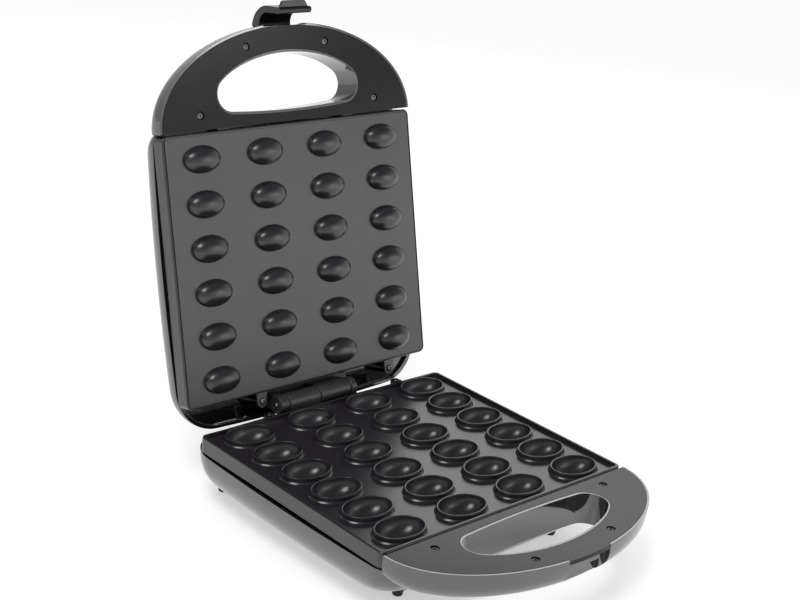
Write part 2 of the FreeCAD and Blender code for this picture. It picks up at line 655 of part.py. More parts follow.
def cup_plate():
    """Lower plate: sunken face inside a lip, 24 oval cups with raised rims, flat pads below."""
    back = -FACE_DROP - PLATE_WALL
    plate = plate_blank(0.0, back)
    plate = plate.cut(plate_inset(LIP_WIDTH, -FACE_DROP, 1.0))
    strap_z = BASE_HEATER_Z - HEATER_R
    plate = fuse([plate] + plate_posts(back, strap_z) + thermostat_pad(back, CUP_BACK_Z))
    plate = plate.cut(plate_pilots(strap_z, CUP_BACK_Z))
    seat = (CUP_HALF_X + CUP_RIM_W / 2.0, CUP_HALF_Y + CUP_RIM_W / 2.0)
    hole = oval_taper(seat, seat, CUP_BACK_Z - 1.0, 1.0, (0.0, 0.0))
    plate = plate.cut([hole.translated(V(x, y, 0)) for x, y in grid()])
    part = cup()
    return plate.multiFuse([part.translated(V(x, y, 0)) for x, y in grid()])


def dome_plate():
    """Upper plate: flat face in a fine border bead, with 24 oval domes that press into the cups."""
    plate = plate_blank(-PLATE_GAP, DOME_BACK_Z)
    floor = -PLATE_GAP - BEAD_GROOVE_DEPTH
    groove = plate_inset(BEAD_WIDTH, floor, 1.0).cut(plate_inset(BEAD_WIDTH + BEAD_GROOVE_W, floor - 1.0, 2.0))
    plate = plate.cut(groove)
    strap_z = LID_HEATER_Z - HEATER_R
    pad_z = DOME_BACK_Z - HEATER_R
    plate = fuse([plate] + plate_posts(DOME_BACK_Z, strap_z) + thermostat_pad(DOME_BACK_Z, pad_z))
    plate = plate.cut(plate_pilots(strap_z, pad_z))
    bump = ellipsoid(DOME_HALF_X, DOME_HALF_Y, DOME_HEIGHT, (0.0, 0.0, -PLATE_GAP))
    bump = bump.common(box(-FAR, FAR, -FAR, FAR, -PLATE_GAP - DOME_ROOT, FAR))
    return plate.multiFuse([bump.translated(V(x, y, 0)) for x, y in grid()])


def heater(z):
    """Tubular heating element that runs under every column, with a cold pin at each end."""
    outer = HALF_PITCH * 3.0
    edges = []
    at = (-outer, HEATER_END_Y)
    for i, x in enumerate((-outer, -HALF_PITCH, HALF_PITCH, outer)):
        way = -1 if i % 2 == 0 else 1
        end = (x, HEATER_END_Y) if i == 3 else (x, way * HEATER_TURN_Y)
        edges.append(line((at[0], at[1], z), (end[0], end[1], z)))
        if i < 3:
            over = (x + CUP_PITCH_X, end[1])
            peak = (x + HALF_PITCH, end[1] + way * HALF_PITCH, z)
            edges.append(arc((end[0], end[1], z), peak, (over[0], over[1], z)))
            at = over
    path = Part.Wire(edges)
    ring = Part.Circle(V(-outer, HEATER_END_Y, z), V(0, 1, 0), HEATER_R).toShape()
    tube = path.makePipeShell([Part.Wire(ring)], True, False)
    tip = HEATER_END_Y + HEATER_PIN_LENGTH
    pins = [rod(HEATER_PIN_R, (x, HEATER_END_Y - 2.0, z), (x, tip, z)) for x in (-outer, outer)]
    return fuse([tube] + pins)


def straps(z):
    """Two flat bars across the heater, each screwed to three posts."""
    bars = []
    for side in (-1, 1):
        y = side * STRAP_Y
        bar = box(-STRAP_HALF_X, STRAP_HALF_X, y - STRAP_WIDTH / 2.0, y + STRAP_WIDTH / 2.0, z - STRAP_THICK, z)
        bar = bar.makeFillet(3.0, upright_edges(bar))
        bars.append(bar.cut([pilot(x, y, z - STRAP_THICK, STRAP_THICK, 1) for x in POST_XS]))
    return Part.makeCompound(bars)


def reflector(drop):
    """Thin pan with a turned-up lip and a window under the thermostat."""
    t = REFLECTOR_THICK
    front = REFLECTOR_FRONT_Y
    back = REFLECTOR_BACK_Y
    low = -drop - t
    pan = rounded_box(REFLECTOR_HALF_X, front, back, low, low + REFLECTOR_LIP_H, REFLECTOR_CORNER_R)
    well = rounded_box(REFLECTOR_HALF_X - t, front + t, back - t, -drop, 0.0, REFLECTOR_CORNER_R - t)
    window = rounded_box(WINDOW_HALF_X, -WINDOW_HALF_Y, WINDOW_HALF_Y, low - 1.0, 1.0, 4.0)
    return pan.cut([well, window] + [pilot(x, y, -drop, t) for x, y in POST_PLACES])


def thermostat(top):
    """Disc thermostat: flat ear plate, round body and two blade terminals."""
    parts = []
    half = THERMOSTAT_EAR_R
    under = top - THERMOSTAT_EAR_T
    for side in (-1, 1):
        y = side * THERMOSTAT_EAR_Y
        parts.append(rod(half, (0.0, y, under), (0.0, y, top)))
    parts.append(box(-half, half, -THERMOSTAT_EAR_Y, THERMOSTAT_EAR_Y, under, top))
    parts.append(rod(THERMOSTAT_R, (0.0, 0.0, top - THERMOSTAT_H), (0.0, 0.0, top)))
    low = top - THERMOSTAT_H - TERMINAL_H
    for x in (-TERMINAL_X, TERMINAL_X):
        parts.append(box(x - 0.4, x + 0.4, -2.0, 2.0, low, low + TERMINAL_H + 1.0))
    return fuse(parts).cut([pilot(0.0, s * THERMOSTAT_EAR_Y, under, 2.0, 1) for s in (-1, 1)])


def tube_through(points, radius):
    """Smooth round lead through a few points."""
    curve = Part.BSplineCurve()
    curve.interpolate([V(*p) for p in points])
    path = Part.Wire(curve.toShape())
    along = curve.tangent(curve.FirstParameter)[0]
    ring = Part.Wire(Part.Circle(V(*points[0]), along, radius).toShape())
    return path.makePipeShell([ring], True, False)


def block_screw_places():
    """Screw places at the two ends of the terminal block."""
    reach = BLOCK_SIZE[0] / 2.0 - BLOCK_EAR_X / 2.0
    return [(BLOCK_PLACE[0] + s * reach, BLOCK_PLACE[1]) for s in (-1, 1)]


def terminal_block():
    """Terminal block with clamp wells and a lowered ear at each end."""
    x, y = BLOCK_PLACE
    half_x = BLOCK_SIZE[0] / 2.0
    half_y = BLOCK_SIZE[1] / 2.0
    top = -BLOCK_DROP + BLOCK_SIZE[2]
    ear_top = -BLOCK_DROP + BLOCK_EAR_H
    body = box(x - half_x, x + half_x, y - half_y, y + half_y, -BLOCK_DROP, top)
    cuts = [box(x + half_x - BLOCK_EAR_X, x + half_x + 1.0, -FAR, FAR, ear_top, 0.0)]
    cuts.append(box(x - half_x - 1.0, x - half_x + BLOCK_EAR_X, -FAR, FAR, ear_top, 0.0))
    cuts += [pilot(px, py, ear_top, BLOCK_EAR_H) for px, py in block_screw_places()]
    for i in (-1, 0, 1):
        for side in (-1, 1):
            well_x = x + i * BLOCK_WELL_PITCH
            well_y = y + side * BLOCK_WELL_Y
            cuts.append(rod(BLOCK_WELL_R, (well_x, well_y, top - BLOCK_WELL_DEPTH), (well_x, well_y, top + 1.0)))
    return body.cut(cuts)


def base_leads():
    """Leads of the base: inlet to block, block to thermostat, fuse and heater pins."""
    x, y = BLOCK_PLACE
    back = y + BLOCK_SIZE[1] / 2.0 + LEAD_GAP
    front = y - BLOCK_SIZE[1] / 2.0 - LEAD_GAP
    low = -BLOCK_DROP + BLOCK_LEAD_H
    pin_x = HALF_PITCH * 3.0
    pin_y = HEATER_END_Y + HEATER_PIN_LENGTH - 2.0
    pin_z = BASE_HEATER_Z - HEATER_PIN_R - LEAD_GAP
    blade = CUP_BACK_Z - THERMOSTAT_H - TERMINAL_H - LEAD_GAP
    fuse_start = FUSE_Y - LEAD_GAP
    fuse_end = FUSE_Y + FUSE_LENGTH + LEAD_GAP
    runs = []
    for side in (-1, 1):
        at = x + (1 + side) * BLOCK_WELL_PITCH / 2.0
        start = (INLET_X + side * 1.7, INLET_FACE_Y - 1.0, -INLET_DROP)
        bend = (INLET_X - 8.0 + side * 1.7, 104.0, -INLET_DROP - 4.0)
        runs.append([start, bend, (at, back + 6.0, low), (at, back, low)])
    bend = (-TERMINAL_X, 6.0, blade - 8.0)
    runs.append([(x - BLOCK_WELL_PITCH, front, low), (x - 12.0, front - 20.0, low), bend, (-TERMINAL_X, 0.0, blade)])
    start = [(TERMINAL_X, 0.0, blade), (TERMINAL_X, -6.0, blade - 8.0), (-40.0, 12.0, -40.0)]
    runs.append(start + [(-84.0, 60.0, -36.0), (-pin_x, pin_y, -28.0), (-pin_x, pin_y, pin_z)])
    bend = (FUSE_X, fuse_start - 8.0, -FUSE_DROP)
    start = [(x + BLOCK_WELL_PITCH, front, low), (x + 18.0, front - 20.0, low)]
    runs.append(start + [bend, (FUSE_X, fuse_start, -FUSE_DROP)])
    start = [(FUSE_X, fuse_end, -FUSE_DROP), (FUSE_X + 8.0, fuse_end + 12.0, -FUSE_DROP)]
    runs.append(start + [(pin_x - 6.0, pin_y - 4.0, -32.0), (pin_x, pin_y, -26.0), (pin_x, pin_y, pin_z)])
    return Part.makeCompound([tube_through(run, LEAD_R) for run in runs])


def lid_leads():
    """Leads of the lid: thermostat to both heater pins and to the two lamps."""
    pad_z = DOME_BACK_Z - HEATER_R
    blade = pad_z - THERMOSTAT_H - TERMINAL_H - LEAD_GAP
    pin_x = HALF_PITCH * 3.0
    pin_y = HEATER_END_Y + HEATER_PIN_LENGTH - 2.0
    pin_z = LID_HEATER_Z - HEATER_PIN_R - LEAD_GAP
    lamp = -LID_DEPTH + LENS_SOCKET + LAMP_LENGTH + LEAD_GAP
    runs = []
    for side in (-1, 1):
        x = side * TERMINAL_X
        start = [(x, 1.3, blade), (x, 7.0, blade - 8.0), (side * 40.0, 14.0, -28.0)]
        runs.append(start + [(side * 84.0, 60.0, -27.0), (side * pin_x, pin_y, -18.0), (side * pin_x, pin_y, pin_z)])
        start = [(side * LENS_X, LENS_Y, lamp), (side * LENS_X, LENS_Y + 4.0, -25.0)]
        runs.append(start + [(x, -8.0, blade - 6.0), (x, -1.3, blade)])
    return Part.makeCompound([tube_through(run, LEAD_R) for run in runs])


def hinge_bracket(spans, bore):
    """Cast bracket: a foot on the rear deck with barrels on webs."""
    foot_top = -DECK_DROP + BRACKET_FOOT_H
    foot = box(-BRACKET_HALF_X, BRACKET_HALF_X, BRACKET_FRONT_Y, BRACKET_BACK_Y, -DECK_DROP, foot_top)
    foot = foot.makeFillet(2.0, upright_edges(foot))
    parts = [foot]
    y0 = HINGE_Y - BARREL_R
    axis = HINGE_RISE
    for x0, x1 in spans:
        barrel = rod(BARREL_R, (x0, HINGE_Y, axis), (x1, HINGE_Y, axis))
        parts.append(barrel.makeChamfer(BARREL_EDGE, [e for e in barrel.Edges if e.BoundBox.XLength < 0.01]))
        a = x0 + BARREL_EDGE
        web = [(y0, axis), (y0, foot_top), (BRACKET_BACK_Y, foot_top), (HINGE_Y + 5.0, axis - 5.5), (HINGE_Y, axis)]
        parts.append(prism([(a, y, z) for y, z in web], (x1 - x0 - 2.0 * BARREL_EDGE, 0, 0)))
    cuts = [rod(bore, (-FAR, HINGE_Y, axis), (FAR, HINGE_Y, axis))]
    cuts += [pilot(s * BRACKET_SCREW_X, BRACKET_SCREW_Y, foot_top, BRACKET_FOOT_H) for s in (-1, 1)]
    return fuse(parts).cut(cuts)


def hinge_pin():
    """Steel pin that joins both brackets, with small bevelled ends."""
    x0 = LID_SPANS[1][0] - PIN_OVERRUN
    x1 = BASE_SPANS[1][1] + PIN_OVERRUN
    pin = rod(PIN_R, (x0, HINGE_Y, HINGE_RISE), (x1, HINGE_Y, HINGE_RISE))
    return pin.makeChamfer(0.6, [e for e in pin.Edges if e.BoundBox.XLength < 0.01])


def cord_inlet():
    """Rubber gland: two flanges either side of the wall and a bore for the cord."""
    z = -INLET_DROP
    inner = INLET_FACE_Y - INLET_WALL_W
    outside = rod(INLET_FLANGE_R, (INLET_X, INLET_FACE_Y, z), (INLET_X, INLET_FACE_Y + INLET_FLANGE_W, z))
    outside = outside.makeChamfer(0.5, [e for e in outside.Edges if e.BoundBox.YMin > INLET_FACE_Y + 1.0])
    neck = rod(INLET_NECK_R, (INLET_X, inner - INLET_FLANGE_W, z), (INLET_X, INLET_FACE_Y + 1.0, z))
    inside = cone(INLET_NECK_R, INLET_FLANGE_R, (INLET_X, inner - INLET_FLANGE_W, z), (INLET_X, inner, z))
    bore = rod(INLET_BORE_R, (INLET_X, inner - 9.0, z), (INLET_X, INLET_FACE_Y + 9.0, z))
    return fuse([outside, neck, inside]).cut(bore)


def feet():
    """Four tapered rubber feet pressed into the recesses of the base."""
    solids = []
    for x, y in FOOT_PLACES:
        plug = rod(FOOT_TOP_R, (x, y, -BASE_DEPTH), (x, y, -BASE_DEPTH + FOOT_RECESS))
        taper = cone(FOOT_TIP_R, FOOT_TOP_R, (x, y, -BASE_DEPTH - FOOT_HEIGHT), (x, y, -BASE_DEPTH))
        tip = [e for e in taper.Edges if e.BoundBox.ZMax < -BASE_DEPTH - FOOT_HEIGHT + 0.1]
        solids.append(fuse([plug, taper.makeFillet(0.8, tip)]))
    return Part.makeCompound(solids)


def lenses():
    """Two indicator lenses with a flange outside and a socket for the lamp."""
    solids = []
    for x in (-LENS_X, LENS_X):
        top = -LID_DEPTH - LENS_PROUD
        body = rod(LENS_R, (x, LENS_Y, top), (x, LENS_Y, -LID_DEPTH + LENS_LENGTH))
        rim = rod(LENS_FLANGE_R, (x, LENS_Y, top), (x, LENS_Y, -LID_DEPTH))
        rim = rim.makeChamfer(0.4, [e for e in rim.Edges if e.BoundBox.ZMax < top + 0.1])
        solids.append(fuse([body, rim]).cut(rod(LAMP_R, (x, LENS_Y, -LID_DEPTH + LENS_SOCKET), (x, LENS_Y, 0.0))))
    return Part.makeCompound(solids)


def lamps():
    """Two small neon lamps in the sockets of the lenses."""
    z0 = -LID_DEPTH + LENS_SOCKET
    return Part.makeCompound([rod(LAMP_R, (x, LENS_Y, z0), (x, LENS_Y, z0 + LAMP_LENGTH)) for x in (-LENS_X, LENS_X)])


def latch():
    """Curved latch: round root on the pin, arched arm, catch bead and finger tab."""
    x = -LATCH_HALF_X
    py = LATCH_PIVOT_Y
    pz = LATCH_PIVOT_Z
    top = (x, py, pz + LATCH_ROOT_R)
    low = (x, py, pz - LATCH_ROOT_R)
    crest = (x, LATCH_CREST_Y, LATCH_CREST_Z)
    front = (x, LATCH_FRONT_Y, 0.0)
    shoulder = (x, (LATCH_CREST_Y + 2.2 * LATCH_FRONT_Y) / 3.2, LATCH_CREST_Z * 0.72)
    inner_tip = (x, LATCH_TIP_Y + LATCH_ARM_THICK, LATCH_TIP_Z)
    inner_front = (x, LATCH_FRONT_Y + LATCH_ARM_THICK, 3.0)
    inner_crest = (x, LATCH_INNER_Y, LATCH_INNER_Z)
    inner_shoulder = (x, (LATCH_INNER_Y + 2.0 * inner_front[1]) / 3.0, LATCH_INNER_Z * 0.8)
    edges = [
        line(top, crest),
        arc(crest, shoulder, front),
        line(front, (x, LATCH_TIP_Y, LATCH_TIP_Z)),
        line((x, LATCH_TIP_Y, LATCH_TIP_Z), inner_tip),
        line(inner_tip, inner_front),
        arc(inner_front, inner_shoulder, inner_crest),
        line(inner_crest, low),
        line(low, top),
    ]
    arm = Part.Face(Part.Wire(edges)).extrude(V(2.0 * LATCH_HALF_X, 0, 0))
    root = rod(LATCH_ROOT_R, (x, py, pz), (-x, py, pz))
    bead_y = LATCH_TIP_Y + LATCH_ARM_THICK / 2.0
    bead = rod(LATCH_BEAD_R, (x, bead_y, LATCH_TIP_Z), (-x, bead_y, LATCH_TIP_Z))
    y = bead_y - 1.0
    tip = y - LATCH_TAB_REACH
    z = LATCH_TIP_Z - 0.5
    near = LATCH_TAB_HALF_X
    far = LATCH_TAB_TIP_X
    tab = prism([(-near, y, z), (near, y, z), (far, tip, z), (-far, tip, z)], (0, 0, LATCH_TAB_THICK))
    tab = tab.makeFillet(2.5, [e for e in upright_edges(tab) if e.BoundBox.YMax < y - 1.0])
    return fuse([arm, root, bead, tab]).cut(rod(LATCH_PIN_R + RUNNING_FIT, (x - 1.0, py, pz), (1.0 - x, py, pz)))


def latch_pin():
    """Pin of the latch."""
    y = LATCH_PIVOT_Y
    return rod(LATCH_PIN_R, (-LATCH_PIN_HALF, y, LATCH_PIVOT_Z), (LATCH_PIN_HALF, y, LATCH_PIVOT_Z))


def swing(shape):
    """Closed lid frame to the photographed open pose."""
    moved = shape.translated(V(0, 0, PARTING_Z + PARTING_GAP))
    moved.rotate(V(0, HINGE_Y, PARTING_Z + HINGE_RISE), V(1, 0, 0), -OPEN_ANGLE)
    return moved


def save(name, shape):
    """Write one named part."""
    for solid in shape.Solids:
        if not solid.isValid():
            raise ValueError("bad solid in " + name)
    shape.exportStep("parts/" + name + ".step")


def save_base(name, shape):
    """Write a part drawn in the half frame as part of the base."""
    save(name, shape.translated(V(0, 0, PARTING_Z)))


def save_lid(name, shape):
    """Write a part drawn in the half frame as part of the lid."""
    save(name, swing(shape.mirror(V(0, 0, 0), V(0, 0, 1))))


def main():
    os.makedirs("parts", exist_ok=True)
    cover_seat = -HANDLE_TOP - COVER_SINK
    tabs = [(x, TAB_SCREW_Y) for x in TAB_XS]
    brackets = [(s * BRACKET_SCREW_X, BRACKET_SCREW_Y) for s in (-1, 1)]
    ears = [(0.0, s * THERMOSTAT_EAR_Y) for s in (-1, 1)]
    foot_top = -DECK_DROP + BRACKET_FOOT_H
    base_strap = BASE_HEATER_Z - HEATER_R
    lid_strap = LID_HEATER_Z - HEATER_R
    lid_pad = DOME_BACK_Z - HEATER_R

    save_base("base_shell", base_shell())
    save_base("base_handle_cover", handle_cover(True))
    save_base("base_cover_screws", screws(COVER_SCREWS, cover_seat, SCREW_LENGTH))
    save_base("cup_plate", cup_plate())
    save_base("cup_plate_screws", screws(tabs, -TAB_DROP, SCREW_LENGTH))
    save_base("base_heater", heater(BASE_HEATER_Z))
    save_base("base_heater_straps", straps(base_strap))
    save_base("base_strap_screws", screws(STRAP_POSTS, base_strap - STRAP_THICK, STRAP_SCREW_LENGTH, 1))
    save_base("base_reflector", reflector(BASE_REFLECTOR_DROP))
    save_base("base_reflector_screws", screws(POST_PLACES, -BASE_REFLECTOR_DROP, PAN_SCREW_LENGTH))
    save_base("base_thermostat", thermostat(CUP_BACK_Z))
    save_base("base_thermostat_screws", screws(ears, CUP_BACK_Z - THERMOSTAT_EAR_T, EAR_SCREW_LENGTH, 1))
    fuse_rod = rod(FUSE_R, (FUSE_X, FUSE_Y, -FUSE_DROP), (FUSE_X, FUSE_Y + FUSE_LENGTH, -FUSE_DROP))
    save_base("thermal_fuse", fuse_rod.makeChamfer(0.6, [e for e in fuse_rod.Edges if e.BoundBox.YLength < 0.01]))
    save_base("terminal_block", terminal_block())
    save_base("terminal_block_screws", screws(block_screw_places(), -BLOCK_DROP + BLOCK_EAR_H, BLOCK_SCREW_LENGTH))
    save_base("base_leads", base_leads())
    save_base("base_hinge_bracket", hinge_bracket(BASE_SPANS, PIN_R))
    save_base("base_bracket_screws", screws(brackets, foot_top, SCREW_LENGTH))
    save_base("hinge_pin", hinge_pin())
    save_base("cord_inlet", cord_inlet())
    save_base("feet", feet())

    save_lid("lid_shell", lid_shell())
    save_lid("lid_handle_cover", handle_cover(False))
    save_lid("lid_cover_screws", screws(COVER_SCREWS, cover_seat, SCREW_LENGTH))
    save_lid("dome_plate", dome_plate())
    save_lid("dome_plate_screws", screws(tabs, -TAB_DROP, SCREW_LENGTH))
    save_lid("lid_heater", heater(LID_HEATER_Z))
    save_lid("lid_heater_straps", straps(lid_strap))
    save_lid("lid_strap_screws", screws(STRAP_POSTS, lid_strap - STRAP_THICK, STRAP_SCREW_LENGTH, 1))
    save_lid("lid_reflector", reflector(LID_REFLECTOR_DROP))
    save_lid("lid_reflector_screws", screws(POST_PLACES, -LID_REFLECTOR_DROP, PAN_SCREW_LENGTH))
    save_lid("lid_thermostat", thermostat(lid_pad))
    save_lid("lid_thermostat_screws", screws(ears, lid_pad - THERMOSTAT_EAR_T, EAR_SCREW_LENGTH, 1))
    save_lid("lid_leads", lid_leads())
    save_lid("lid_hinge_bracket", hinge_bracket(LID_SPANS, PIN_R + RUNNING_FIT))
    save_lid("lid_bracket_screws", screws(brackets, foot_top, SCREW_LENGTH))
    save_lid("indicator_lenses", lenses())
    save_lid("indicator_lamps", lamps())

    save("latch", swing(latch()))
    save("latch_pin", swing(latch_pin()))


main()
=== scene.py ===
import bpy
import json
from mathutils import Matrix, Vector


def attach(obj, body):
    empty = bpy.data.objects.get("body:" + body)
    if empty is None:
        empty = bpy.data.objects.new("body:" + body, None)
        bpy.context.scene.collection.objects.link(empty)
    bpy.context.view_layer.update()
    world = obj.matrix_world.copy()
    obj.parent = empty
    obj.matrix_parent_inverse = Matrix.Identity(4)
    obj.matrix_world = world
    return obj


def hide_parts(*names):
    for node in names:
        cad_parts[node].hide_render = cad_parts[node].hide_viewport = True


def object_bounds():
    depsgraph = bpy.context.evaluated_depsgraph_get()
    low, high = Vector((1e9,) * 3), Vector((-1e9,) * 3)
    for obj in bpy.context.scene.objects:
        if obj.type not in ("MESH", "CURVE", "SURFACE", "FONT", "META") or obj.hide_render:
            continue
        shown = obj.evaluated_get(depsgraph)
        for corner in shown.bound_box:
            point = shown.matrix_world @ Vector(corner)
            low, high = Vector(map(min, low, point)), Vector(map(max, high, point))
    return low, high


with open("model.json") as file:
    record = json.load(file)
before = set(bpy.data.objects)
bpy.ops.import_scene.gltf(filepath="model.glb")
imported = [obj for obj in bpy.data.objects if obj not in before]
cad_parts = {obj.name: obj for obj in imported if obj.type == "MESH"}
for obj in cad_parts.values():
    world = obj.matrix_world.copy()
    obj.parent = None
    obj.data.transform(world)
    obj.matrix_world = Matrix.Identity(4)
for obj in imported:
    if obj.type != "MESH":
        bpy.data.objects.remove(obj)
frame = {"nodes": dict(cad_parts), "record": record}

import json
import math

import bmesh
import bpy
from mathutils import Matrix, Vector

# Looks of the electric nut cookie maker. Lengths are in metres, in the frame of the record.

MM = 0.001
nodes = frame["nodes"]
cad_low, cad_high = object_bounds()

# Camera, as measured from the two cup grids in the photograph
CAMERA_PLACE = Vector((-0.7225, -0.7138, 0.5402))
CAMERA_RIGHT = Vector((0.73746, -0.66864, 0.09525))
CAMERA_UP = Vector((0.16681, 0.31697, 0.93365))
CAMERA_LENS = 68.37

# Stage and light
FLOOR_HALF = 12.0
FLOOR_TONE = 0.80
FLOOR_GLOW = 0.45
FLOOR_MIRRORED = 0.15
SKY_DIFFUSE = 0.62
SKY_BEHIND = 1.0
SKY_IN_FRONT = 1.0
SKY_ON_LEFT = 0.7
SKY_ZENITH = 0.15
MIDDLE = Vector((0.0, 0.05, 0.12))

# Directions in which the screws of the two halves look
OPEN_ANGLE = math.radians(104.0)
UP = Vector((0.0, 0.0, 1.0))
LID_OUT = Vector((0.0, -math.sin(OPEN_ANGLE), -math.cos(OPEN_ANGLE)))

# Screw heads
HEAD_SEGMENTS = 72
HEAD_RINGS = 22
CROSS_LENGTH = 0.60
CROSS_WIDTH = 0.17
CROSS_DEPTH = 0.62


class Nodes:
    """A material with short ways to add and join shader nodes."""

    def __init__(self, name, edge_radius=0.3 * MM):
        self.material = bpy.data.materials.new(name)
        self.material.use_nodes = True
        self.tree = self.material.node_tree
        self.tree.nodes.clear()
        self.out = self.add("ShaderNodeOutputMaterial")
        self.shader = self.add("ShaderNodeBsdfPrincipled")
        self.join(self.shader.outputs[0], self.out.inputs["Surface"])
        self.place = self.add("ShaderNodeTexCoord").outputs["Object"]
        bevel = self.add("ShaderNodeBevel", samples=4)
        bevel.inputs["Radius"].default_value = edge_radius
        self.round = bevel.outputs[0]
        self.join(self.round, self.shader.inputs["Normal"])

    def add(self, kind, **values):
        node = self.tree.nodes.new(kind)
        for key, value in values.items():
            setattr(node, key, value)
        return node

    def join(self, a, b):
        self.tree.links.new(a, b)

    def set(self, **values):
        for key, value in values.items():
            self.shader.inputs[key.replace("_", " ")].default_value = value

    def noise(self, scale, detail=3.0, rough=0.5, stretch=(1.0, 1.0, 1.0)):
        node = self.add("ShaderNodeTexNoise")
        node.inputs["Scale"].default_value = scale
        node.inputs["Detail"].default_value = detail
        node.inputs["Roughness"].default_value = rough
        mapping = self.add("ShaderNodeMapping")
        mapping.inputs["Scale"].default_value = stretch
        self.join(self.place, mapping.inputs["Vector"])
        self.join(mapping.outputs[0], node.inputs["Vector"])
        return node.outputs[0]

    def span(self, value, low, high, to_low=0.0, to_high=1.0):
        node = self.add("ShaderNodeMapRange")
        for name, number in zip(("From Min", "From Max", "To Min", "To Max"), (low, high, to_low, to_high)):
            node.inputs[name].default_value = number
        self.join(value, node.inputs["Value"])
        return node.outputs[0]

    def mix(self, factor, a, b):
        node = self.add("ShaderNodeMix", data_type="RGBA")
        self.join(factor, node.inputs[0])
        for socket, value in ((node.inputs[6], a), (node.inputs[7], b)):
            if isinstance(value, bpy.types.NodeSocket):
                self.join(value, socket)
            else:
                socket.default_value = (*value, 1.0)
        return node.outputs[2]

    def both(self, a, b, operation="ADD"):
        node = self.add("ShaderNodeMath", operation=operation)
        for socket, value in ((node.inputs[0], a), (node.inputs[1], b)):
            if isinstance(value, bpy.types.NodeSocket):
                self.join(value, socket)
            else:
                socket.default_value = value
        return node.outputs[0]

    def colour(self, value):
        self.join(value, self.shader.inputs["Base Color"])

    def rough(self, value):
        self.join(value, self.shader.inputs["Roughness"])

    def bump(self, height, distance, strength=1.0):
        node = self.add("ShaderNodeBump")
        node.inputs["Distance"].default_value = distance
        node.inputs["Strength"].default_value = strength
        self.join(height, node.inputs["Height"])
        self.join(self.round, node.inputs["Normal"])
        self.join(node.outputs[0], self.shader.inputs["Normal"])

    def edges(self):
        """Bright on edges, where handling wears a surface."""
        flat = self.add("ShaderNodeNewGeometry").outputs["Normal"]
        dot = self.add("ShaderNodeVectorMath", operation="DOT_PRODUCT")
        self.join(self.round, dot.inputs[0])
        self.join(flat, dot.inputs[1])
        return self.span(dot.outputs["Value"], 0.995, 0.90)


def shade_pair(colour, spread):
    """A slightly darker and a slightly lighter tone of one colour."""
    return tuple(c * (1.0 - spread) for c in colour), tuple(c * (1.0 + spread) for c in colour)


def gloss_black(name, colour=(0.008, 0.008, 0.009), worn=(0.03, 0.03, 0.031), rough=0.07, ior=2.0):
    """Polished moulded plastic: faint haze, hairline scratches, duller worn edges."""
    m = Nodes(name, 0.5 * MM)
    haze = m.noise(9.0, 4.0)
    scratches = m.noise(260.0, 2.0, 0.6, (1.0, 0.08, 1.0))
    wear = m.both(m.edges(), m.span(m.noise(60.0), 0.4, 0.6), "MULTIPLY")
    m.colour(m.mix(wear, colour, worn))
    base = m.span(haze, 0.3, 0.7, rough * 0.8, rough * 1.3)
    base = m.both(base, m.span(scratches, 0.55, 0.75, 0.0, 0.03))
    m.rough(m.both(base, m.both(wear, 0.12, "MULTIPLY")))
    m.set(IOR=ior)
    m.bump(m.noise(30.0, 1.0), 0.00003, 0.25)
    return m.material


def satin_black(name, colour=(0.005, 0.005, 0.0054), rough=0.2, ior=1.28):
    """Moulded plate with a fine even grain."""
    m = Nodes(name, 0.35 * MM)
    grain = m.noise(2600.0, 2.0, 0.6)
    cloud = m.noise(4.0, 2.0)
    wear = m.both(m.edges(), m.span(m.noise(80.0), 0.4, 0.65), "MULTIPLY")
    dark, light = shade_pair(colour, 0.06)
    shade = m.mix(m.span(cloud, 0.3, 0.7), dark, light)
    m.colour(m.mix(wear, shade, (0.04, 0.04, 0.041)))
    m.rough(m.both(m.span(cloud, 0.3, 0.7, rough - 0.005, rough + 0.01), m.span(grain, 0.3, 0.7, -0.02, 0.02)))
    m.set(IOR=ior)
    m.bump(grain, 0.00001, 0.35)
    return m.material


def cast_plate(name):
    """Cast aluminium under a dark non-stick coating: fine sprayed grain, thin bright edges."""
    m = Nodes(name, 0.3 * MM)
    spray = m.noise(2300.0, 3.0, 0.6)
    mottle = m.noise(11.0, 3.0, 0.5)
    dark, light = shade_pair((0.0165, 0.0146, 0.0172), 0.1)
    shade = m.mix(m.span(mottle, 0.3, 0.7), dark, light)
    wear = m.both(m.edges(), m.span(m.noise(120.0), 0.42, 0.62), "MULTIPLY")
    m.colour(m.mix(m.both(wear, 0.4, "MULTIPLY"), shade, (0.09, 0.086, 0.09)))
    m.rough(m.both(m.span(mottle, 0.3, 0.7, 0.27, 0.30), m.span(spray, 0.3, 0.7, -0.025, 0.025)))
    m.set(IOR=1.6)
    m.bump(spray, 0.000015, 0.4)
    return m.material


def metal(name, colour, rough, stretch=(1.0, 1.0, 1.0), grain=800.0):
    """Bare or plated metal with a directional grain, small stains and brighter edges."""
    m = Nodes(name)
    lines = m.noise(grain, 3.0, 0.6, stretch)
    stain = m.noise(70.0, 4.0)
    shade = m.mix(m.span(stain, 0.35, 0.7), colour, tuple(c * 0.72 for c in colour))
    m.colour(m.mix(m.edges(), shade, tuple(min(1.0, c * 1.25) for c in colour)))
    m.rough(m.both(m.span(stain, 0.3, 0.7, rough * 0.85, rough * 1.2), m.span(lines, 0.3, 0.7, -0.05, 0.05)))
    m.set(Metallic=1.0)
    m.bump(lines, 0.00002, 0.4)
    return m.material


